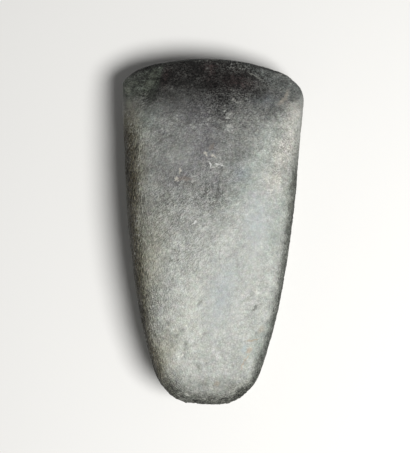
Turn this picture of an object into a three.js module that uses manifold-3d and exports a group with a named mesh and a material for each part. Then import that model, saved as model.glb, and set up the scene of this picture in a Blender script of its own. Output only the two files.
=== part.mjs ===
// Polished stone axe head, lying on its broad underside: one pecked and ground piece of dark,
// fine-grained stone with a curved cutting edge, flattened sides and a blunt butt.
// Millimetres. X runs across the blade, Y from the butt to the cutting edge, Z is up.
// The origin is on the resting plane, under the middle of the stone's bounding box.

import * as THREE from 'three';
import { mergeVertices } from 'three/addons/utils/BufferGeometryUtils.js';
import Module from 'manifold-3d';

// Overall sizes
const length = 130; // butt end to the crown of the cutting edge
const bladeWidth = 68.7; // greatest width, close behind the cutting edge
const buttWidth = 31; // width to which the sides taper at the butt end, before it is rounded
const upperThickness = 17.5; // mid-plane to the crown of the upper face
const lowerThickness = 17; // mid-plane to the crown of the lower face, before it is flattened
const halfBlade = bladeWidth / 2;

// Cutting edge, seen from above
const edgeRadius = 82; // radius of the edge's curve
const edgeSkew = 0.65; // drop of the edge at its +X end, and rise at its -X end, beside an even curve
const edgeBlunt = 0.9; // thickness of the worn edge itself
const wornAngle = 60; // degrees between the mid-plane and the worn strip along the edge
const wornThickness = 3; // thickness of the axe where the worn strip ends and the bevels start
const edgeBendOnset = 3; // the higher, the nearer to the edge the stone's cross lines start to bend with it
const leftCorner = { across: 9, along: 5.1 }; // rounding of the corner at -X
const rightCorner = { across: 9.5, along: 7.9 }; // rounding of the corner at +X
const cornerFullness = 2; // 2 is a round corner, more is squarer

// Blade bevels, ground on both faces
const bevelAngle = 31; // degrees between the mid-plane and a bevel, at the edge
const bevelRoundness = 150; // radius to which each bevel is crowned along the axe
const bevelBlend = 2; // height over which a bevel melts into the body

// Body
const widestAt = 0.93; // share of the length at which the sides stop widening
const straightTaper = 0.34; // share of the taper that is straight, the rest is taken near the butt
const taperCurve = 3.6; // the higher, the nearer to the butt that rest is taken
const thickestAt = 0.47; // share of the length, from the butt
const buttThickness = 19; // thickness to which the faces taper at the butt end, before rounding
const bladeThickness = 19; // thickness that the faces would have at the edge, with no bevels
const crownCurve = 2.1; // the higher, the flatter the faces run between the thickest place and both ends
const faceFullness = 2.4; // 2 is an elliptical section, more is squarer
const faceSpreadShare = 1.05; // share of the width at which the faces would meet, without the flat sides
const sideFlatHeight = 18.5; // height of the flattened side at the thickest place
const sideCrown = 1.8; // how far the flattened side stands out over that height
const sideBlendShare = 0.03; // softness of the arris beside it, as a share of the half thickness

// Butt end
const buttFlat = { width: 11, height: 7 }; // small ground flat on the very end
const buttRound = { across: 12, thick: 7 }; // length over which the end rounds into sides and faces
const buttFullness = 2.2; // 2 is a round corner, more is squarer

// Ground flat on the lower face, on which the stone rests
const restingGrind = 0.5; // depth taken off the crown of the lower face

// Facets left by re-grinding the corners of the upper bevel. Each starts at a crease, which runs
// between two places on the bevel, and drops below the bevel towards the corner beyond it. Places are
// distances to the side of the middle and behind the edge. These and the drop are shares of half the
// blade's width.
const cornerFacets = [
  { from: { aside: -0.521, behind: 0.044 }, to: { aside: -0.667, behind: 0.413 },
    corner: { aside: -0.961, behind: 0.175 }, drop: 0.0262 },
  { from: { aside: 0.294, behind: 0.064 }, to: { aside: 0.795, behind: 0.282 },
    corner: { aside: 0.873, behind: 0.029 }, drop: 0.0218 },
];

// Chips on the cutting edge: place, reach both ways and depth, as shares of half the blade's width
const edgeChips = [
  { aside: 0.285, behind: 0.041, across: 0.049, along: 0.055, deep: 0.02 },
  { aside: 0.326, behind: 0.09, across: 0.038, along: 0.047, deep: 0.0146 },
];
const chipFacets = 10;

// Fineness of the surface
const ringCount = 54;
const pointsAcross = 34;

const stone = new THREE.MeshStandardMaterial({
  name: 'ground_stone',
  color: 0x8d8f8a,
  roughness: 0.55,
  metalness: 0,
});

// The smaller of two values, rounded off where they are within reach of each other.
function softMin(a, b, reach) {
  const overlap = Math.max(reach - Math.abs(a - b), 0) / reach;
  return Math.min(a, b) - (overlap * overlap * reach) / 4;
}

// Goes from 0 to 1 as a quarter of a superellipse while x goes from 0 to 1, and stays at 1.
function quarterRound(x, fullness) {
  const left = 1 - Math.min(x, 1);
  return (1 - left ** fullness) ** (1 / fullness);
}

// Half width of the stone on one side, at a distance from the butt end measured on the centre line.
function halfWidth(along, corner) {
  const left = Math.max(1 - along / (widestAt * length), 0);
  const taper = straightTaper * left + (1 - straightTaper) * left ** taperCurve;
  const side = halfBlade - (halfBlade - buttWidth / 2) * taper;
  const flat = buttFlat.width / 2;
  const rounded = flat + (side - flat) * quarterRound(along / buttRound.across, buttFullness);
  const nearEdge = quarterRound((length - along) / corner.along, cornerFullness);
  return rounded - corner.across * (1 - nearEdge);
}

// Half thickness of a face's crown on the centre line, before the bevel is ground.
function crownHeight(along, greatest) {
  const peak = thickestAt * length;
  const towardsButt = along < peak;
  const end = (towardsButt ? buttThickness : bladeThickness) / 2;
  const share = towardsButt ? 1 - along / peak : (along - peak) / (length - peak);
  const crown = greatest - (greatest - end) * share ** crownCurve;
  const flat = buttFlat.height / 2;
  return flat + (crown - flat) * quarterRound(along / buttRound.thick, buttFullness);
}

// Height of a bevel above the mid-plane, at a distance behind the cutting edge. The first part of it
// is the steeper worn strip.
function bevelHeight(behind) {
  const worn = edgeBlunt / 2 + behind * Math.tan(THREE.MathUtils.degToRad(wornAngle));
  const rise = Math.tan(THREE.MathUtils.degToRad(bevelAngle));
  const wornWidth = (wornThickness - edgeBlunt) / 2 / Math.tan(THREE.MathUtils.degToRad(wornAngle));
  const ground = wornThickness / 2 + (behind - wornWidth) * rise - behind ** 2 / (2 * bevelRoundness);
  return Math.min(worn, ground);
}

// Height of a face above the mid-plane. across goes from -1 to 1, from one side to the other.
function faceHeight(along, across, greatest) {
  const reach = Math.abs(across);
  if (reach >= 1) return 0;
  const crown = crownHeight(along, greatest);
  const body = (1 - (reach / faceSpreadShare) ** faceFullness) ** (1 / faceFullness);
  const crownOfSide = (sideCrown / halfBlade) * (greatest / (sideFlatHeight / 2)) ** 2;
  const side = Math.sqrt((1 - reach) / crownOfSide);
  const section = crown * Math.max(softMin(body, side, sideBlendShare), 0);
  const bevel = bevelHeight(length - along);
  return Math.max(softMin(section, bevel, Math.min(bevelBlend, bevel)), 0);
}

// How far the stone's cross lines are bent back, to follow the cutting edge at that end.
function bend(along, x) {
  const share = (along / length) ** edgeBendOnset;
  const skew = (edgeSkew * x) / halfBlade;
  return share * (x ** 2 / (2 * edgeRadius) + skew);
}

// One closed line round the stone: over the upper face from +X to -X, and back under the lower one.
function ring(along) {
  const right = halfWidth(along, rightCorner);
  const left = halfWidth(along, leftCorner);
  const floor = -(lowerThickness - restingGrind);
  const points = [];
  for (let i = 0; i < 2 * pointsAcross; i += 1) {
    const turn = (Math.PI * i) / pointsAcross;
    const across = Math.cos(turn);
    const x = across * (across > 0 ? right : left);
    const upper = i <= pointsAcross;
    const height = faceHeight(along, across, upper ? upperThickness : lowerThickness);
    const z = upper ? height : Math.max(-height, floor);
    points.push(new THREE.Vector3(x, along - bend(along, x), z));
  }
  return points;
}

// Skins a row of rings and closes both ends, each between its upper and its lower line.
function skin(rings) {
  const count = rings[0].length;
  const triangles = [];
  for (let r = 0; r < rings.length - 1; r += 1) {
    for (let i = 0; i < count; i += 1) {
      const here = r * count + i;
      const next = r * count + ((i + 1) % count);
      triangles.push(here, here + count, next);
      triangles.push(next, here + count, next + count);
    }
  }
  const closeEnd = (first, outwards) => {
    for (let i = 0; i < count / 2; i += 1) {
      const strip = [first + i, first + i + 1, first + ((count - i) % count), first + count - i - 1];
      const faces = [[strip[0], strip[1], strip[2]], [strip[1], strip[3], strip[2]]];
      for (const face of faces) {
        if (new Set(face).size === 3) triangles.push(...(outwards ? face : face.reverse()));
      }
    }
  };
  closeEnd(0, true);
  closeEnd((rings.length - 1) * count, false);
  const geometry = new THREE.BufferGeometry();
  const places = rings.flat().flatMap((point) => point.toArray());
  geometry.setAttribute('position', new THREE.Float32BufferAttribute(places, 3));
  geometry.setIndex(triangles);
  return geometry;
}

// The whole stone before it was chipped. Rings stand closer together towards both ends.
function groundStone() {
  const rings = [];
  for (let r = 0; r < ringCount; r += 1) {
    const share = (1 - Math.cos((Math.PI * r) / (ringCount - 1))) / 2;
    rings.push(ring(share * length));
  }
  return skin(rings);
}

// The point on the upper bevel at a place given as shares of half the blade's width.
function onBevel({ aside, behind }) {
  const x = aside * halfBlade;
  const back = behind * halfBlade;
  return new THREE.Vector3(x, length - bend(length, x) - back, bevelHeight(back));
}

// A block whose lower face is the plane of a corner facet: it takes away all that stands above it.
function facetTool({ from, to, corner, drop }) {
  const start = onBevel(from);
  const crease = onBevel(to).sub(start);
  const fall = onBevel(corner).sub(start);
  fall.z -= drop * halfBlade;
  const normal = new THREE.Vector3().crossVectors(crease, fall).normalize();
  if (normal.z < 0) normal.negate();
  const block = new THREE.BoxGeometry(length, length, length);
  block.translate(0, 0, length / 2);
  block.applyQuaternion(new THREE.Quaternion().setFromUnitVectors(new THREE.Vector3(0, 0, 1), normal));
  return block.translate(start.x, start.y, start.z);
}

// A small shallow hollow, as a flattened ball whose lower part bites into the upper bevel.
function chipTool({ aside, behind, across, along, deep }) {
  const ball = new THREE.SphereGeometry(halfBlade, chipFacets, chipFacets / 2);
  ball.scale(across, along, deep);
  ball.rotateX(-THREE.MathUtils.degToRad(bevelAngle));
  const place = onBevel({ aside, behind });
  return ball.translate(place.x, place.y, place.z);
}

function toSolid(wasm, geometry) {
  const bare = geometry.clone();
  bare.deleteAttribute('normal');
  bare.deleteAttribute('uv');
  const merged = mergeVertices(bare);
  const vertProperties = new Float32Array(merged.attributes.position.array);
  const triVerts = new Uint32Array(merged.index.array);
  return new wasm.Manifold(new wasm.Mesh({ numProp: 3, vertProperties, triVerts }));
}

function toGeometry(solid) {
  const mesh = solid.getMesh();
  const geometry = new THREE.BufferGeometry();
  geometry.setAttribute('position', new THREE.BufferAttribute(mesh.vertProperties, 3));
  geometry.setIndex(new THREE.BufferAttribute(mesh.triVerts, 1));
  return geometry;
}

// Puts the origin under the middle of the bounding box, on the resting plane.
function standOnOrigin(geometry) {
  geometry.computeBoundingBox();
  const { min, max } = geometry.boundingBox;
  geometry.translate(-(min.x + max.x) / 2, -(min.y + max.y) / 2, -min.z);
  return geometry;
}

const wasm = await Module();
wasm.setup();

let solid = toSolid(wasm, groundStone());
for (const facet of cornerFacets) solid = solid.subtract(toSolid(wasm, facetTool(facet)));
for (const chip of edgeChips) solid = solid.subtract(toSolid(wasm, chipTool(chip)));

const geometry = standOnOrigin(toGeometry(solid));
geometry.computeVertexNormals();

const axeHead = new THREE.Mesh(geometry, stone);
axeHead.name = 'axe_head';

const part = new THREE.Group();
part.add(axeHead);

export default part;
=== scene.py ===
import math

import bpy
import numpy as np
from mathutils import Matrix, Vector, geometry, noise


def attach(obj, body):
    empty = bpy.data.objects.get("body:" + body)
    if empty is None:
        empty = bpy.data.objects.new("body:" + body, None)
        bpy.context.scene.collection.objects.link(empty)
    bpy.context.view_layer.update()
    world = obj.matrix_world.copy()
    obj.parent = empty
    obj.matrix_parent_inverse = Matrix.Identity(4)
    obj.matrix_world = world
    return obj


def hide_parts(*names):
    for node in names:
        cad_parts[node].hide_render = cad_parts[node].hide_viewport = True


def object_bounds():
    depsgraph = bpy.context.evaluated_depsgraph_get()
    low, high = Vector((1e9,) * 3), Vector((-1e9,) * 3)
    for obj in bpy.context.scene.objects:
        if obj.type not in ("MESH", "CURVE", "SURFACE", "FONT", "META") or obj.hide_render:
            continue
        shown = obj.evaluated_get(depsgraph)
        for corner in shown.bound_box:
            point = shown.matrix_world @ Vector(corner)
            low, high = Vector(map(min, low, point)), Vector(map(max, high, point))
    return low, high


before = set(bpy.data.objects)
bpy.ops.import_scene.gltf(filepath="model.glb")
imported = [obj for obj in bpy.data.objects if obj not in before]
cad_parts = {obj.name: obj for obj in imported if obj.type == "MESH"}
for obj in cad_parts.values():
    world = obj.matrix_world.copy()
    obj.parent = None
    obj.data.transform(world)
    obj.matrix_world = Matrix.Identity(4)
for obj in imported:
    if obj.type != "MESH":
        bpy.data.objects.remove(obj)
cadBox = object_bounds()
mm = 0.001
print("stage 1: frame loaded, CAD box", cadBox)


# General helpers

def toLinear(hexColour):
    # sRGB hex to the linear RGBA that the nodes take
    parts = [int(hexColour[i:i + 2], 16) / 255 for i in (1, 3, 5)]
    return [c / 12.92 if c < 0.04045 else ((c + 0.055) / 1.055) ** 2.4 for c in parts] + [1.0]


def selectOnly(thing):
    bpy.ops.object.select_all(action="DESELECT")
    thing.select_set(True)
    bpy.context.view_layer.objects.active = thing


def applyModifier(thing, kind, **settings):
    selectOnly(thing)
    modifier = thing.modifiers.new(kind.lower(), kind)
    for name, value in settings.items():
        setattr(modifier, name, value)
    bpy.ops.object.modifier_apply(modifier=modifier.name)


def pointsOf(thing):
    places = np.empty(len(thing.data.vertices) * 3)
    thing.data.vertices.foreach_get("co", places)
    return places.reshape(-1, 3)


def rise(low, high, values):
    # 0 below low, 1 above high, and a soft step in between
    share = np.clip((values - low) / (high - low), 0, 1)
    return share * share * (3 - 2 * share)


def unevenness(places, cell, shift):
    # Smooth noise of about -1 to 1 at each point. cell is in mm, and each shift gives another pattern.
    return np.array([noise.noise(Vector(place) / (cell * mm) + Vector((shift, 0, 0))) for place in places])


# Where the stone has which finish. Sizes and places are in mm, in the part's frame.
# "behind" is the distance back from the cutting edge.
stoneZones = {
    "fine": (1.6, 0),  # cell and pattern of the small unevenness that the borders follow
    "broad": (5, 40),  # the same for the large one
    "ragged": (1.2, 1.8),  # how far the two move the borders behind the edge
    "upper": (14, 20),  # from z, to z, where the upper face's own marks set in
    "edgeCurve": 82.0,  # radius of the cutting edge seen from above
    "worn": (0.5, 2.2),  # behind the edge, where the blunt strip ends; it is painted near black as shade
    "polish": (6.0, 28.0),  # behind the edge, where the blade's polish runs out
    "polishLost": ((10, 30, 0.65), (-24, -30, 0.4)),  # from x, to x, and how much of it is gone there
    "tongue": (1.5, 6.5, 4.0),  # x, half width and reach of the stretch where it runs further back
    "ground": (28.0, 82.0),  # behind the edge, where the smooth dark upper body turns into the pale butt; the dark side is partly painted shade and the pale side partly a painted sheen
    "groundRagged": 7.0,  # how far the large unevenness moves that border
    "groundLeft": (-16.0, -31.0, 0.4),  # from x, to x, and how much of it is gone there
    "sheenShoulder": (18.8, 23.5, -1.15),  # x, behind and slope of the border where the right side turns pale, a painted sheen
    "sheenShoulderBlur": (14.0, 22.0, 2.0, 7.0),  # from x, to x, its softness past them, and how much more before
    "sheenShoulderFrom": (17.8, 25.0, -0.35, 5.0),  # x, behind, slope and blur of the line that it starts at
    # Patina and painted shade inside the outline, where the sides turn away from the light: its width near
    # the edge and near the butt, where behind the edge it starts and is full, and the share of its width
    # over which it fades out
    "leftRimPatinaAndShade": (9.5, 4.5, 8, 26, 0.7),
    "leftTanAndShade": (14.5, 7.5, 8, 26, 0.7),  # a paler tan that reaches further in, with painted shade where the left shoulder rounds away from the light
    "rightRimPatinaAndShade": (4.0, 5.4, 14, 46, 1.0),
    "buttRimPatinaAndShade": (10.0, 10.0, 4, 14, 1.0),
    "flankPatinaAndShade": (2.0, 1.5, 10, 46, 1.0),  # painted shade on the dark steep part of all three sides, with some patina
    "rimRagged": (0.8, 1.2, 12.0),  # how far the two unevennesses move the border of a rim this wide
    "facing": (0.3, 0.8),  # how squarely the outline faces a rim's way where it starts and where it is full
    "below": (2, 19, 0.35),  # from z, to z, and how much of these patinas and painted shade is left down there
    "belowRagged": 1.5,  # how far the large unevenness moves that border
    "dressed": (10, 32),  # behind the edge, where the dressing marks along the sides set in
    "tanDressed": 1.1,  # how strong they are where the tan is
    "corners": {  # line that borders the re-ground corner, from, to and how sharp, and where it runs out
        "leftCorner": ((-20.8, 52.5), (-18.3, 62.5), (-0.6, 0.9), (8, 15)),
        "rightCorner": ((13.5, 59.8), (27.3, 49.5), (-0.5, 2.5), (7, 13)),
    },
    "patchRagged": (0.6, 1.0),  # how far the two unevennesses move the borders of the patches below
    "chippedGrain": 2,  # how grainy the broken edge is
}

# Soft patches on the upper face: x, y, half length and half width in mm, and turn in degrees. Those named
# for a colour only tint the stone. The pits are pressed into the mesh as well, so they are no finer than it
# can show.
stonePatches = {
    "pale": ((-7, -34, 20, 5, 88),),
    "purple": ((-2.5, 33, 15, 5, 85), (-5, 44, 8, 7, 0), (1.5, 18, 5, 2, 80), (-11, 20, 7, 4, 30),
               (11, 21, 5, 3, 60)),
    "ash": ((10, 40, 8, 4, -10), (1.5, 11, 3, 4, 0), (-3, -57.5, 9, 3.5, 0), (7, -57.5, 5, 3.5, 0)),
    # dark greenish stain that also widens the painted shade of the rims
    "rimStainAndShade": ((29.5, 10, 13, 2.6, 86), (-26, -9, 15, 2.9, 82), (3, -55.8, 9, 1.7, 0)),
    "green": ((15, 22, 16, 4.5, 60), (22, 36, 5, 4, 0), (24, 2, 14, 3, 75), (-25, 40, 7, 4, 70),
              (20, -40, 9, 5, 70)),
    "sandy": ((27, 32, 11, 4, 80), (23, 20, 6, 4, 70), (30, 44, 5, 2.5, 80)),
    "blue": ((17, 5, 11, 5, 80), (19.5, 49, 4.5, 2.6, 10), (11, 21, 3, 2.5, 0), (5, -22, 12, 5, 75)),
    "umber": ((9.6, 55.7, 5.5, 3.2, -10), (-17.6, 58, 4.5, 1.2, 80), (-1, 61, 2.2, 4, 0),
              (-29, 22, 9, 2.2, 80)),
    "ochre": ((-22.5, -11, 25, 5.5, 82), (-17, -47, 12, 5, 70), (-26, 25, 16, 4, 85),
              (-10, 18.5, 5, 2, -10)),
    # rubbed smooth, with less of the grain
    "smoothed": ((17, 0, 24, 7, 80), (4, -24, 20, 9, 80), (-12, 28, 8, 5, 20), (-27, 55, 7, 5, 20),
                 (-12, 50, 10, 4, 10)),
    "scratched": ((-14, 8, 17, 9, 60), (-8, -8, 10, 7, 30)),
    "chipped": ((8.9, 62.3, 4.0, 2.4, -10),),
    # single pits, pressed in and painted darker as shade, and paler spots bruised by a blow, both mostly in
    # the butt half
    "pits": ((16.6, -28.9, 0.9, 0.5, 80), (-3.6, -25.6, 1.4, 0.7, 60), (-11.6, -38.5, 0.9, 0.8, 60),
             (-9.7, -36.6, 0.8, 0.6, 30), (-11.9, -40.9, 0.7, 0.7, 0), (-8.1, -41.3, 0.8, 0.6, 70),
             (-8.3, -43.3, 0.7, 0.6, 20), (-4.9, -40.7, 0.7, 0.5, 0), (-14.9, -33.8, 0.9, 0.6, 40),
             (-3.6, -49.2, 0.8, 0.6, 0), (-0.2, -47.9, 0.9, 0.6, 160), (-1.6, -37.0, 0.7, 0.6, 0)),
    "bruised": ((-6.4, -40.5, 0.9, 0.6, 150), (-13.1, -35.8, 1.1, 0.8, 40), (-10.5, -45.9, 1.6, 1.1, 30),
                (-5.2, -43.6, 1.4, 0.7, 150), (3.4, -45.7, 1.3, 0.8, 140), (2.4, -43.2, 0.8, 0.5, 60),
                (13.8, -22.2, 0.9, 0.5, 130), (17.8, -22.3, 1.2, 0.7, 110)),
    # more of the grain
    "grainy": ((26, 30, 17, 6, 80), (0, 12, 6, 5, 0), (5, 46, 12, 6, 10), (-20, -26, 9, 4, 75),
               (-28, 55, 6, 6, 0), (24, 55, 7, 4, -40)),
}


def insideOutline(x, y):
    # Distance in from the outline seen from above, and the way out to its nearest stretch
    points = [Vector(place) for place in np.stack((x, y), 1)]
    corners = [points[index] for index in geometry.convex_hull_2d(points)]
    nearest, outX, outY = np.full(len(x), np.inf), np.zeros(len(x)), np.zeros(len(x))
    middle = sum(corners, Vector((0, 0))) / len(corners)
    for start, end in zip(corners, corners[1:] + corners[:1]):
        way = Vector((end.y - start.y, start.x - end.x)).normalized()
        if way.dot(start - middle) < 0:
            way = -way
        distance = (start.x - x) * way.x + (start.y - y) * way.y
        closer = distance < nearest
        nearest = np.where(closer, distance, nearest)
        outX, outY = np.where(closer, way.x, outX), np.where(closer, way.y, outY)
    return nearest, outX, outY


def patchShare(x, y, patches):
    # 1 in the middle of the nearest patch, fading out round it
    share = np.zeros(len(x))
    for midX, midY, length, width, turn in patches:
        c, s = math.cos(math.radians(turn)), math.sin(math.radians(turn))
        along, aside = (x - midX) * c + (y - midY) * s, (y - midY) * c - (x - midX) * s
        share = np.maximum(share, np.exp(-(along / length) ** 2 - (aside / width) ** 2))
    return share


def beyondLine(x, y, start, end):
    # Distance to the left of a line, as one walks along it
    (x1, y1), (x2, y2) = start, end
    return ((x2 - x1) * (y - y1) - (y2 - y1) * (x - x1)) / math.hypot(x2 - x1, y2 - y1)


def zonesOf(places):
    # How much of each finish each point of the skin has, from 0 to 1
    zones = stoneZones
    fine, broad = unevenness(places, *zones["fine"]), unevenness(places, *zones["broad"])
    x, y, z = places.T / mm
    upper = rise(*zones["upper"], z)
    behind = cadBox[1].y / mm - x ** 2 / (2 * zones["edgeCurve"]) - y
    byFine, byBroad = zones["ragged"]
    ragged = behind + byFine * fine + byBroad * broad
    at, spread, reach = zones["tongue"]
    tongue = reach * np.exp(-((x - at) / spread) ** 2)
    polish = 1 - rise(*zones["polish"], ragged - tongue)
    for low, high, loss in zones["polishLost"]:
        polish *= 1 - loss * rise(low, high, x)

    low, high, loss = zones["groundLeft"]
    ground = 1 - rise(*zones["ground"], behind + zones["groundRagged"] * broad)
    ground *= 1 - loss * rise(low, high, x)
    # past this border the right side turns pale: a painted sheen
    atX, atBehind, slope = zones["sheenShoulder"]
    border = atBehind + slope * (x - atX)
    low, high, soft, extra = zones["sheenShoulderBlur"]
    blur = soft + extra * (1 - rise(low, high, x))
    atX, atBehind, slope, edge = zones["sheenShoulderFrom"]
    onRight = rise(-edge, edge, x - atX - slope * (behind - atBehind))
    ground = ground * (1 - onRight) + (1 - rise(border - blur, border + blur, ragged)) * onRight

    inside, outX, outY = insideOutline(x, y)
    shares = {
        "ground": ground,
        "polish": polish,
        "worn": 1 - rise(*zones["worn"], behind),
        "girth": inside + z,  # not a share: mm round the side, which the dressing marks follow
    }
    for name, (start, end, crease, runsOut) in zones["corners"].items():
        shares[name] = rise(*crease, beyondLine(x, y, start, end)) * (1 - rise(*runsOut, ragged)) * upper

    # rims of patina and painted shade, darker where the sides turn away from the light
    rims = {"leftTanAndShade": -outX, "leftRimPatinaAndShade": -outX, "rightRimPatinaAndShade": outX, "buttRimPatinaAndShade": -outY}
    rims["flankPatinaAndShade"] = np.maximum(np.abs(outX), -outY)
    low, high, left = zones["below"]
    thinned = left + (1 - left) * rise(low, high, z + zones["belowRagged"] * broad)
    byFine, byBroad, fullWidth = zones["rimRagged"]
    for name, facing in rims.items():
        atEdge, atButt, low, high, blur = zones[name]
        width = np.interp(y, (y.min(), y.max()), (atButt, atEdge))
        wander = (byFine * fine + byBroad * broad) * width / fullWidth
        border = 1 - rise((0.5 - blur / 2) * width, (0.5 + blur / 2) * width, inside + wander)
        shares[name] = border * rise(*zones["facing"], facing) * thinned * rise(low, high, behind)
    tan = zones["tanDressed"] * shares["leftTanAndShade"]
    dressed = np.maximum.reduce([tan, shares["rightRimPatinaAndShade"], shares["buttRimPatinaAndShade"]])
    shares["dressed"] = dressed * rise(*zones["dressed"], behind)

    byFine, byBroad = zones["patchRagged"]
    for name, patches in stonePatches.items():
        shares[name] = upper * patchShare(x + byFine * fine + byBroad * broad,
                                          y + byFine * fine - byBroad * broad, patches)
    shares["grainy"] += shares["rightRimPatinaAndShade"] + shares["buttRimPatinaAndShade"] + zones["chippedGrain"] * shares["chipped"]
    return shares


# The stone's shape. "pattern" picks one of the patterns of the same cell.
stoneShape = {
    "merge": 0.01 * mm,
    "quads": (25, 60),  # degrees that two triangles may bend and skew, to be joined before the rounding
    "rounding": 2,  # levels of subdivision
    "voxel": 0.52 * mm,  # finest size of the modelled relief
    "softening": (3, 0.5),  # passes and strength of smoothing over the remeshed skin
    "restingRim": (0.25 * mm, 0.75 * mm),  # nothing is pressed in below the first, so the flat stays flat
    "fullness": 0.17,  # mm, put on first, as the relief takes about as much off again
    "swell": ("CLOUDS", 19.0, 0.28, 0.2, 0.8, "all"),  # hand-ground unevenness
    "relief": (  # kind, cell and depth in mm, start and end of the ramp, and where
        ("CLOUDS", 3.2, 0.22, 0.25, 0.75, "pecked"),  # shallow dips
        ("CLOUDS", 1.25, 0.2, 0.3, 0.65, "pecked"),  # dimples left by the hammerstone
        ("CLOUDS", 0.8, 0.12, 0.25, 0.75, "pecked"),  # grain between them
        ("VORONOI", 2.6, 0.25, 0.08, 0.3, "pitted"),  # deeper marks that grinding didn't reach
        ("CLOUDS", 2.2, 0.22, 0.35, 0.7, "broken"),  # battered butt end and broken edge
        ("CLOUDS", 1.0, 0.26, 0.35, 0.6, "broken"),
    ),
    "peckedPatches": (8, 80, -0.3, 0.35, 0.35),  # cell in mm, pattern, ramp, and share left between them
    "pitPatches": (11, 120, 0.1, 0.5),  # cell in mm, pattern and ramp
    "polishedAway": (0.1, 0.8, 0.85),  # from which polish, to which, and how much of the pecking is gone
    "smoothedAway": 0.6,
    "battered": (0.55, 0.9, 0.8),  # from which share of the butt's rim, to which, and how strongly
    "furrows": (1.3, 3.2, 0.22),  # mm wide and long, and depth, of the dressing marks along the sides
    "furrowSlant": (0.3, 0.2, 1),  # way in which the pattern runs on from one furrow to the next
    "furrowRamp": (160, -0.1, 0.5),  # pattern, start and end of its ramp
    "furrowsFrom": (0.1, 0.6),  # share of the dressed zone where they start and are full
    "deepest": 98,  # percentile of the depths that counts as a full hollow
}


def weigh(thing, name, weights):
    # A vertex group from one weight for each point. Points with nearly the same weight are added together.
    fullStep = 50
    group = thing.vertex_groups.new(name=name)
    steps = np.round(weights * fullStep).astype(int)
    for step in np.unique(steps[steps > 0]):
        group.add(np.flatnonzero(steps == step).tolist(), step / fullStep, "REPLACE")


def press(thing, kind, cell, depth, low, high, where):
    # Press a texture into the skin. low and high are where its ramp goes from full depth to none.
    texture = bpy.data.textures.new(where, kind)
    texture.noise_scale = cell * mm
    texture.use_color_ramp = True
    ramp = texture.color_ramp.elements
    ramp[0].position, ramp[0].color = low, (0, 0, 0, 1)
    ramp[1].position, ramp[1].color = high, (1, 1, 1, 1)
    applyModifier(thing, "DISPLACE", texture=texture, texture_coords="LOCAL", strength=depth * mm,
                  mid_level=1, vertex_group=where)


def keepAsAttribute(thing, name, values):
    attribute = thing.data.attributes.new(name, "FLOAT", "POINT")
    attribute.data.foreach_set("value", values.astype(np.float32))


def makeSkin():
    # The solid's form as an even mesh, with its facets rounded over
    shape = stoneShape
    piece = bpy.data.objects.new("ground_stone_blade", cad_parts["axe_head"].data.copy())
    bpy.context.scene.collection.objects.link(piece)
    selectOnly(piece)
    bend, skew = shape["quads"]
    bpy.ops.object.mode_set(mode="EDIT")
    bpy.ops.mesh.select_all(action="SELECT")
    bpy.ops.mesh.remove_doubles(threshold=shape["merge"])
    bpy.ops.mesh.tris_convert_to_quads(face_threshold=math.radians(bend), shape_threshold=math.radians(skew))
    bpy.ops.object.mode_set(mode="OBJECT")
    applyModifier(piece, "SUBSURF", levels=shape["rounding"], render_levels=shape["rounding"])
    applyModifier(piece, "REMESH", mode="VOXEL", voxel_size=shape["voxel"])
    passes, strength = shape["softening"]
    applyModifier(piece, "SMOOTH", factor=strength, iterations=passes)
    print("stage 3: skin of", len(piece.data.polygons), "faces")
    return piece


def weighRelief(piece, places, zones):
    # The vertex groups that the relief is pressed in by
    shape = stoneShape
    loose = rise(*shape["restingRim"], places[:, 2])
    weigh(piece, "all", loose)

    cell, pattern, low, high, left = shape["peckedPatches"]
    patchy = left + (1 - left) * rise(low, high, unevenness(places, cell, pattern))
    low, high, taken = shape["polishedAway"]
    pecked = loose * patchy * (1 - taken * rise(low, high, zones["polish"]))
    pecked *= 1 - shape["smoothedAway"] * zones["smoothed"]
    weigh(piece, "pecked", pecked)
    cell, pattern, low, high = shape["pitPatches"]
    weigh(piece, "pitted", pecked * rise(low, high, unevenness(places, cell, pattern)))

    low, high, strength = shape["battered"]
    battered = strength * rise(low, high, zones["buttRimPatinaAndShade"])
    weigh(piece, "broken", loose * np.maximum(zones["chipped"], battered))

    # the furrows' pattern is measured in their own length and width, so its cell is 1 of them
    wide, long = shape["furrows"][:2]
    pattern, low, high = shape["furrowRamp"]
    along = places / (long * mm) + np.outer(zones["girth"] / wide, shape["furrowSlant"])
    furrows = rise(low, high, unevenness(along * mm, 1, pattern))
    furrows *= rise(*shape["furrowsFrom"], zones["dressed"])
    weigh(piece, "furrows", loose * np.maximum(furrows, zones["pits"]))


def makeStone():
    shape = stoneShape
    piece = makeSkin()
    places = pointsOf(piece)
    zones = zonesOf(places)
    weighRelief(piece, places, zones)
    applyModifier(piece, "DISPLACE", strength=shape["fullness"] * mm, mid_level=0, vertex_group="all")
    press(piece, *shape["swell"])
    unpecked = pointsOf(piece)
    for row in shape["relief"]:
        press(piece, *row)
    depth = shape["furrows"][2]
    applyModifier(piece, "DISPLACE", strength=-depth * mm, mid_level=0, vertex_group="furrows")
    places = pointsOf(piece)
    hollow = np.linalg.norm(places - unpecked, axis=1)
    places = np.clip(places, cadBox[0], cadBox[1])
    piece.data.vertices.foreach_set("co", places.ravel())
    piece.data.update()
    piece.vertex_groups.clear()
    for name, shares in zones.items():
        keepAsAttribute(piece, name, shares)
    keepAsAttribute(piece, "hollow", hollow / np.percentile(hollow, shape["deepest"]))
    selectOnly(piece)
    bpy.ops.object.shade_smooth()
    return piece


# Materials

def addNode(tree, kind, inputs, output=0, **settings):
    # Settings go on the node. An input is a value, or another node's output that it links to.
    # What comes back is the node's own output.
    node = tree.nodes.new("ShaderNode" + kind)
    for name, value in settings.items():
        setattr(node, name, value)
    for socket, value in inputs.items():
        if isinstance(value, bpy.types.NodeSocket):
            tree.links.new(value, node.inputs[socket])
        else:
            node.inputs[socket].default_value = value
    return node.outputs[output]


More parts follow.
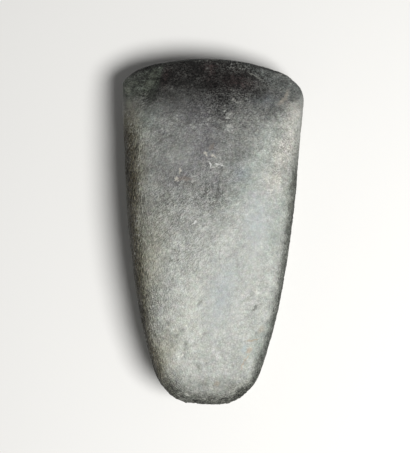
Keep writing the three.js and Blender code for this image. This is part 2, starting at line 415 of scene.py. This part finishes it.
# How a noise about 0.5 becomes a tone about 0: slightly darker over most of it, with fewer, brighter flecks
fleckCurve = {"from": 0.25, "to": 0.75, "power": 2.0, "dark": -0.75, "bright": 1.65}


def flecked(tree, pattern, depth):
    curve = fleckCurve
    spread = addNode(tree, "MapRange", {"Value": pattern, "From Min": curve["from"],
                                        "From Max": curve["to"]})
    bent = addNode(tree, "Math", {0: spread, 1: curve["power"]}, operation="POWER")
    return addNode(tree, "MapRange", {"Value": bent, "To Min": curve["dark"] * depth,
                                      "To Max": curve["bright"] * depth})


# Dolerite: a dark, fine-grained stone with pale felspar laths a millimetre or two long. Pecking bruises
# it to a pale, matt, granular grey; grinding and polishing bring back the near-black stone, with a sheen.
doleriteLook = {
    "body": "#a7a9a3",  # bruised stone of the butt half
    "finishes": (  # zone, colour, strength; laid over each other in this order
        ("ochre", "#a19f8b", 0.6),
        # dark ground stone, with painted shade over the upper body and a painted sheen where it gives way on
        # the right
        ("ground", "#747572", 0.95),
        ("pale", "#bfc1b8", 0.75),
        ("purple", "#626064", 0.6),
        ("ash", "#8e8f8a", 0.5),
        ("sandy", "#c0bdb4", 0.75),
        ("green", "#869189", 0.45),
        ("blue", "#939b9f", 0.45),
        # dark greenish stain that also widens the painted shade of the rims
        ("rimStainAndShade", "#53564b", 0.45),
        # the pressed pits, painted darker as shade
        ("pits", "#6c6e67", 0.55),
        ("bruised", "#e0e1db", 0.55),
        ("polish", "#141211", 1.0),
        ("leftCorner", "#3d423a", 0.85),
        ("rightCorner", "#5f6461", 0.55),
        ("umber", "#3c2f2e", 0.42),
        # patina and painted shade of the sides, darker where they turn away from the light
        ("leftTanAndShade", "#66614a", 0.75),
        ("leftRimPatinaAndShade", "#3a3320", 0.9),
        ("rightRimPatinaAndShade", "#5c6157", 0.88),
        ("buttRimPatinaAndShade", "#73756a", 0.85),
        ("flankPatinaAndShade", "#34352d", 0.55),
        # the steep blunt strip along the edge, painted near black as shade
        ("worn", "#090a09", 0.95),
    ),
    "tones": (  # cell in mm, and how far it lightens and darkens the body, the ground part and the polish
        (0.55, 0.26, 0.4, 1.2),  # mineral grains
        (1.3, 0.15, 0.23, 0.85),
        (3.0, 0.07, 0.08, 0.4),
        (6.0, 0.1, 0.1, 0.2),  # clouds in the stone
    ),
    "polishTonesFrom": 0.5,  # share of polish from which its own tones set in
    "hueDrift": (1.6, 0.14),  # cell in mm, and how far the grains differ in hue
    "felspar": "#b4b5ae",
    "laths": ((20, 1.7, 0.5), (55, 1.5, 0.45), (140, 1.4, 0.5)),  # degrees, mm long, mm wide
    "lathShare": 0.34,
    "lathRim": (0.38, 0.2),  # shares of a lath's size where its rim starts and where it is full
    "specks": (  # mm apart, radius as a share of that, share of the places left empty, colour, strength
        (1.7, 0.3, 0.55, "#d4d5ce", 0.34),  # bruised grains
        (2.3, 0.28, 0.5, "#1c1c1a", 0.35),  # dark specks, painted shade of deep pits
    ),
    "speckRim": 0.5,  # share of a speck's radius within which it is full
    "speckOnset": 0.08,  # share of the places that have a fainter speck
    "furrows": (0.5, 1.3, 0.75),  # mm wide and long, and tone, of the dressing marks along the sides
    "scratches": (0.5, 1.8, 35, 0.25),  # the same on the face, with their turn in degrees
    "curl": (2.5, 0.9),  # mm, size and reach of the bends in them and in the laths
    "patches": (6.0, 0.42, 0.6, 0.25),  # mm, ramp, and share of the laths and specks between the patches
    "hollowShading": (1.05, 0.86),  # painted light on the high points and painted shade in the full hollows
    "darkest": 0.15,  # least tone
    "calm": 0.5,  # contrast left on the smoothest patches
    "grainy": 0.75,  # contrast added on the grainiest patches
    "onChip": 1.1,  # how much stronger the laths and specks are on the broken edge
    "onPolish": 0.4,  # share of the laths and specks left on the polished blade
    "grit": 0.6,  # mm, size of the finest grain
    "relief": 0.45,  # mm, height of it
    "reliefOnPolish": (0.3, 0.9, 0.8),  # from which share of polish, to which, and how much of it is left
    "roughness": (0.2, 0.9, 0.56, 0.36),  # the same, of the pecked body and of the polished blade
    "gloss": 0.22,  # old and dusty, so below a fresh surface's 0.5
}

# Small marks on the upper face: colour, strength, and where they are, each as x, y, half length and half
# width in mm, and turn in degrees
stoneMarks = (
    ("#a08c74", 0.5, (  # rust
        (16.6, -39.6, 2.6, 0.35, 15), (15.4, -43.4, 1.3, 0.9, 35), (13.1, -48.6, 2.8, 0.3, 76),
        (14.6, -46.0, 1.6, 0.3, 60))),
    ("#988e7e", 0.45, ((19.6, -35.6, 1.6, 1.1, 60), (3.5, -55.9, 1.2, 0.8, 30))),
    ("#a4b0b2", 0.5, ((13.3, -42.9, 1.8, 0.9, 80),)),
    ("#484845", 0.6, ((17.3, -27.4, 1.1, 0.5, 60), (3.7, 22.6, 1.1, 0.6, 80), (2.6, 15.4, 4.4, 0.5, 82))),
    ("#7a6f66", 0.45, ((-0.3, 30.6, 1.7, 0.8, 70), (-9.6, 18.9, 2.6, 0.8, 0))),  # brown patches
    ("#bab6aa", 0.7, (  # cream flecks round them
        (-2.2, 28.3, 0.8, 0.5, 150), (0.5, 27.4, 1.2, 0.35, 160), (-11.5, 21.8, 1.2, 0.4, 70),
        (-12.8, 18.8, 0.7, 0.45, 40), (-11.9, 18.2, 0.6, 0.35, 20))),
    ("#cfd0cc", 0.8, (  # white flecks
        (2.2, 24.4, 0.8, 0.35, 0), (-0.5, 24.2, 1.1, 0.35, 95), (3.8, 24.1, 0.7, 0.5, 0),
        (-5.7, 3.0, 0.8, 0.4, 50))),
    ("#b0b0aa", 0.7, ((1.3, 23.7, 1.2, 0.3, 10), (-5.8, 20.0, 1.0, 0.35, 35), (-6.5, 18.2, 0.9, 0.35, 30))),
    ("#a09a8f", 0.7, ((27.4, 51.2, 2.6, 0.8, 72), (25.9, 48.9, 2.0, 0.8, 40))),  # tan streak at the right
    ("#a3a39d", 0.5, (  # bruised clusters behind the blade
        (8.6, 47.9, 1.2, 0.5, 150), (7.6, 48.8, 0.7, 0.4, 40), (6.2, 42.9, 1.3, 0.8, 40))),
    ("#8b8c86", 0.5, (
        (15.1, -23.4, 1.9, 0.3, 45), (12.4, -25.6, 1.6, 0.3, 50), (16.9, -30.6, 1.2, 0.3, 80))),
    ("#c0c1ba", 0.55, ((4.6, 44.3, 0.7, 0.35, 60), (5.7, 41.6, 0.7, 0.35, 10), (6.3, 38.6, 1.1, 0.35, 170))),
    ("#31322c", 0.45, ((9.6, 62.0, 2.6, 1.6, -20),)),  # break on the edge
    ("#84857e", 0.95, ((15.4, 58.5, 3.8, 0.42, -30),)),  # painted highlight along the crease of the right corner
    # painted shade along the same crease
    ("#0e0d0c", 0.85, ((15.1, 57.5, 3.6, 0.45, -30),)),
    ("#62665b", 0.5, (  # pale and dark blotches of the left corner
        (-23.8, 54.4, 2.4, 1.9, 20), (-22.6, 58.0, 1.8, 1.5, 60), (-29.6, 54.9, 2.0, 0.9, 0))),
    ("#7e8073", 0.4, ((-31.6, 51.6, 1.2, 1.4, 0), (-31.2, 46.8, 1.8, 1.4, 90))),
    ("#232521", 0.4, ((-28.3, 50.4, 1.2, 1.0, 0), (-26.0, 56.6, 1.4, 0.8, 30), (-21.9, 50.6, 5.0, 1.8, 64))),
    ("#4a4a2c", 0.5, ((-32.4, 41.0, 2.6, 0.8, 90),)),
    ("#2b2c27", 0.8, (  # painted shade in the battered folds of the butt end
        (-8.6, -61.6, 2.2, 0.3, -25), (-3.4, -62.9, 2.4, 0.3, -8), (6.0, -62.0, 2.0, 0.3, 15),
        (-11.6, -59.3, 1.6, 0.3, -45))),
    # painted glints: highlights on the same folds
    ("#d2d2c9", 0.75, (
        (-2.0, -62.0, 1.5, 0.25, -5), (3.0, -62.5, 1.3, 0.25, 10), (-7.4, -60.6, 1.3, 0.25, -20))),
)
markShape = {
    "bends": (0.9, 0.6),  # bends in a mark's outline per mm, and how far in mm they reach
    "spread": 1.3,  # how much further out than its half length and half width it fades to nothing
    "full": 0.54,  # share of the way in at which it is at its full strength
    "height": 30,  # mm, of its middle
    "depth": 18,  # mm, half its size up and down, so that none comes out on the lower face
}


def layFinishes(tree):
    # The colour of each zone, laid over those before it
    colour = toLinear(doleriteLook["body"])
    for name, tint, strength in doleriteLook["finishes"]:
        zone = addNode(tree, "Attribute", {}, "Fac", attribute_name=name)
        share = addNode(tree, "Math", {0: zone, 1: strength}, operation="MULTIPLY")
        colour = addNode(tree, "Mix", {0: share, 6: colour, 7: toLinear(tint)}, 2, data_type="RGBA")
    return colour


def drawFurrows(tree, here, girth):
    width, length, depth = doleriteLook["furrows"]
    turns = addNode(tree, "Math", {0: girth, 1: length / width}, operation="MULTIPLY")
    furrows = addNode(tree, "TexNoise", {"Vector": here, "W": turns, "Scale": 1 / length, "Detail": 1.5},
                      noise_dimensions="4D")
    return flecked(tree, furrows, depth)


def drawScratches(tree, curved):
    width, length, turn, depth = doleriteLook["scratches"]
    along = addNode(tree, "Mapping", {"Vector": curved, "Rotation": (0, 0, math.radians(turn)),
                                      "Scale": (length, width, width)}, vector_type="TEXTURE")
    scratches = addNode(tree, "TexNoise", {"Vector": along, "Scale": 1.0, "Detail": 1.5})
    return flecked(tree, scratches, depth)


def makeTone(tree, here, zones, grainy, dressing):
    # The tone that scales the colour: 1 plus a sum of noises, each with how far it counts
    look = doleriteLook
    polished = addNode(tree, "MapRange", {"Value": zones["polish"], "From Min": look["polishTonesFrom"]})
    total = 0.0
    for cell, onBody, onGround, onPolish in look["tones"]:
        grain = addNode(tree, "TexNoise", {"Vector": here, "Scale": 1 / cell, "Detail": 2.0,
                                           "Roughness": 0.6})
        depth = addNode(tree, "Mix", {0: zones["ground"], 2: onBody, 3: onGround})
        depth = addNode(tree, "Mix", {0: polished, 2: depth, 3: onPolish})
        total = addNode(tree, "Math", {0: flecked(tree, grain, 1.0), 1: depth, 2: total},
                        operation="MULTIPLY_ADD")
    tone = addNode(tree, "Math", {0: total, 1: grainy, 2: 1.0}, operation="MULTIPLY_ADD")
    for marks, zone in dressing:
        tone = addNode(tree, "Math", {0: marks, 1: zone, 2: tone}, operation="MULTIPLY_ADD")
    # painted shade in the pressed hollows, and painted light on the high points between them
    high, deep = look["hollowShading"]
    hollow = addNode(tree, "MapRange", {"Value": zones["hollow"], "To Min": high, "To Max": deep})
    tone = addNode(tree, "Math", {0: tone, 1: hollow}, operation="MULTIPLY")
    return addNode(tree, "Math", {0: tone, 1: look["darkest"]}, operation="MAXIMUM")


def strewGrains(tree, here, curved, zones, calm, colour):
    # Laths and specks over the colour, thicker in patches and on the broken edge
    look = doleriteLook
    cell, low, high, left = look["patches"]
    patchy = addNode(tree, "TexNoise", {"Vector": here, "Scale": 1 / cell, "Detail": 1.0})
    patchy = addNode(tree, "MapRange", {"Value": patchy, "From Min": low, "From Max": high, "To Min": left})
    patchy = addNode(tree, "Math", {0: patchy, 1: calm}, operation="MULTIPLY")
    unpolished = addNode(tree, "MapRange", {"Value": zones["polish"], "To Min": 1.0,
                                            "To Max": look["onPolish"]})
    chip = addNode(tree, "Math", {0: zones["chipped"], 1: look["onChip"]}, operation="MULTIPLY")
    patchy = addNode(tree, "Math", {0: patchy, 1: unpolished, 2: chip}, operation="MULTIPLY_ADD")

    laths = 0.0
    rim, full = look["lathRim"]
    for turn, length, width in look["laths"]:
        along = addNode(tree, "Mapping", {"Vector": curved, "Rotation": (0, 0, math.radians(turn)),
                                          "Scale": (length, width, width)}, vector_type="TEXTURE")
        away = addNode(tree, "TexVoronoi", {"Vector": along, "Scale": 1.0}, "Distance")
        lath = addNode(tree, "MapRange", {"Value": away, "From Min": rim, "From Max": full})
        laths = addNode(tree, "Math", {0: lath, 1: laths}, operation="MAXIMUM")
    layers = [(laths, look["felspar"], look["lathShare"])]
    for apart, radius, empty, tint, strength in look["specks"]:
        cells = {"Vector": here, "Scale": 1 / apart}
        picked = addNode(tree, "TexVoronoi", cells, "Color")
        picked = addNode(tree, "MapRange", {"Value": picked, "From Min": empty,
                                            "From Max": empty + look["speckOnset"]})
        away = addNode(tree, "TexVoronoi", cells, "Distance")
        speck = addNode(tree, "MapRange", {"Value": away, "From Min": radius,
                                           "From Max": radius * look["speckRim"]})
        speck = addNode(tree, "Math", {0: speck, 1: picked}, operation="MULTIPLY")
        layers.append((speck, tint, strength))
    for value, tint, strength in layers:
        share = addNode(tree, "Math", {0: value, 1: strength}, operation="MULTIPLY")
        share = addNode(tree, "Math", {0: share, 1: patchy}, operation="MULTIPLY")
        colour = addNode(tree, "Mix", {0: share, 6: colour, 7: toLinear(tint)}, 2, data_type="RGBA")
    return colour


def paintMarks(tree, here, colour):
    # The small marks over the colour, each a soft ellipse with a bent outline
    shape = markShape
    often, reach = shape["bends"]
    bent = addNode(tree, "TexNoise", {"Vector": here, "Scale": often, "Detail": 1.0}, "Color",
                   normalize=False)
    bent = addNode(tree, "VectorMath", {0: bent, 1: (reach,) * 3, 2: here}, operation="MULTIPLY_ADD")
    for tint, strength, marks in stoneMarks:
        share = 0.0
        for x, y, length, width, turn in marks:
            size = (shape["spread"] * length, shape["spread"] * width, shape["depth"])
            place = addNode(tree, "Mapping", {"Vector": bent, "Location": (x, y, shape["height"]),
                                              "Rotation": (0, 0, math.radians(turn)), "Scale": size},
                            vector_type="TEXTURE")
            mark = addNode(tree, "TexGradient", {"Vector": place}, "Fac", gradient_type="SPHERICAL")
            mark = addNode(tree, "MapRange", {"Value": mark, "From Max": shape["full"],
                                              "To Max": strength})
            share = addNode(tree, "Math", {0: mark, 1: share}, operation="MAXIMUM")
        colour = addNode(tree, "Mix", {0: share, 6: colour, 7: toLinear(tint)}, 2, data_type="RGBA")
    return colour


def makeRelief(tree, here, zones, grainy, dressing):
    # Grit, furrows and scratches finer than the mesh
    look = doleriteLook
    height = addNode(tree, "TexNoise", {"Vector": here, "Scale": 1 / look["grit"], "Detail": 2.0,
                                        "Roughness": 0.65})
    for marks, zone in dressing:
        height = addNode(tree, "Math", {0: marks, 1: zone, 2: height}, operation="MULTIPLY_ADD")
    low, high, left = look["reliefOnPolish"]
    strength = addNode(tree, "MapRange", {"Value": zones["polish"], "From Min": low, "From Max": high,
                                          "To Min": 1.0, "To Max": left})
    strength = addNode(tree, "Math", {0: strength, 1: grainy}, operation="MULTIPLY")
    return addNode(tree, "Bump", {"Height": height, "Distance": look["relief"] * mm, "Strength": strength})


def makeDolerite():
    look = doleriteLook
    material = bpy.data.materials.new("peckedGroundDolerite")
    material.use_nodes = True
    tree = material.node_tree
    tree.nodes.clear()
    here = addNode(tree, "TexCoord", {}, "Object")
    here = addNode(tree, "Mapping", {"Vector": here, "Scale": (1 / mm, 1 / mm, 1 / mm)})
    cell, reach = look["curl"]
    curved = addNode(tree, "TexNoise", {"Vector": here, "Scale": 1 / cell, "Detail": 0.0}, "Color",
                     normalize=False)
    curved = addNode(tree, "VectorMath", {0: curved, 1: (reach,) * 3, 2: here}, operation="MULTIPLY_ADD")
    zones = {name: addNode(tree, "Attribute", {}, "Fac", attribute_name=name)
             for name in ("ground", "polish", "smoothed", "grainy", "chipped", "scratched", "dressed",
                          "hollow", "girth")}
    calm = addNode(tree, "MapRange", {"Value": zones["smoothed"], "To Min": 1.0, "To Max": look["calm"]})
    grainy = addNode(tree, "Math", {0: zones["grainy"], 1: look["grainy"], 2: calm},
                     operation="MULTIPLY_ADD")
    dressing = ((drawFurrows(tree, here, zones["girth"]), zones["dressed"]),
                (drawScratches(tree, curved), zones["scratched"]))

    colour = layFinishes(tree)
    tone = makeTone(tree, here, zones, grainy, dressing)
    colour = addNode(tree, "VectorMath", {0: colour, 1: tone}, operation="MULTIPLY")
    cell, drift = look["hueDrift"]
    hues = addNode(tree, "TexNoise", {"Vector": here, "Scale": 1 / cell, "Detail": 1.5}, "Color")
    hues = addNode(tree, "VectorMath", {0: hues, 1: (drift,) * 3, 2: (1 - drift / 2,) * 3},
                   operation="MULTIPLY_ADD")
    colour = addNode(tree, "VectorMath", {0: colour, 1: hues}, operation="MULTIPLY")
    colour = strewGrains(tree, here, curved, zones, calm, colour)
    colour = paintMarks(tree, here, colour)
    relief = makeRelief(tree, here, zones, grainy, dressing)
    low, high, pecked, polished = look["roughness"]
    rough = addNode(tree, "MapRange", {"Value": zones["polish"], "From Min": low, "From Max": high,
                                       "To Min": pecked, "To Max": polished})
    shader = addNode(tree, "BsdfPrincipled", {"Base Color": colour, "IOR": 1.54, "Normal": relief,
                                              "Specular IOR Level": look["gloss"],
                                              "Roughness": rough})
    tree.links.new(shader, tree.nodes.new("ShaderNodeOutputMaterial").inputs["Surface"])
    return material


# Floor, light and camera
studio = {
    "floorColour": "#e2e1de", "floorRoughness": 0.9, "floorSize": 3.0,
    "keyFrom": (0.42, -0.25, 1.0), "keyDistance": 0.75, "keySize": 0.35, "keyWatts": 7.0,
    "worldColour": "#ffffff", "worldStrength": 0.15,
}


def makeStudio():
    bpy.ops.object.select_all(action="DESELECT")
    bpy.ops.mesh.primitive_plane_add(size=studio["floorSize"], location=(0, 0, 0))
    floor = bpy.context.object
    floor.name = "floor"
    material = bpy.data.materials.new("paleMattPaper")
    material.use_nodes = True
    shader = material.node_tree.nodes["Principled BSDF"]
    shader.inputs["Base Color"].default_value = toLinear(studio["floorColour"])
    shader.inputs["Roughness"].default_value = studio["floorRoughness"]
    floor.data.materials.append(material)

    aim = Vector(studio["keyFrom"]).normalized()
    lamp = bpy.data.lights.new("softKey", "AREA")
    lamp.shape, lamp.size, lamp.energy = "DISK", studio["keySize"], studio["keyWatts"]
    key = bpy.data.objects.new("softKey", lamp)
    bpy.context.scene.collection.objects.link(key)
    key.location = aim * studio["keyDistance"]
    key.rotation_euler = aim.to_track_quat("Z", "Y").to_euler()

    world = bpy.data.worlds.new("studioAir")
    world.use_nodes = True
    background = world.node_tree.nodes["Background"]
    background.inputs["Color"].default_value = toLinear(studio["worldColour"])
    background.inputs["Strength"].default_value = studio["worldStrength"]
    bpy.context.scene.world = world
    bpy.context.scene.view_settings.view_transform = "Standard"


cameraSetup = {
    "lens": 100.0, "sensor": 36.0,
    "above": 473 * mm,  # from the lens to the plane of the stone's outline
    "outlineHeight": 17.5 * mm,
    "middle": (-1.9 * mm, 1.72 * mm),
    "roll": 1.207,  # degrees
}


def makeCamera():
    setup = cameraSetup
    data = bpy.data.cameras.new("photoCamera")
    data.lens, data.sensor_width = setup["lens"], setup["sensor"]
    camera = bpy.data.objects.new("photoCamera", data)
    bpy.context.scene.collection.objects.link(camera)
    camera.location = (*setup["middle"], setup["outlineHeight"] + setup["above"])
    camera.rotation_euler = (0, 0, math.radians(setup["roll"]))
    bpy.context.scene.camera = camera


makeCamera()
makeStudio()
print("stage 2: camera, floor and light in place")
stone = makeStone()
print("stage 4: relief pressed in, finishes stored as attributes")
stone.data.materials.clear()
stone.data.materials.append(makeDolerite())
print("stage 5: stone dressed")

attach(stone, "root")
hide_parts("axe_head")
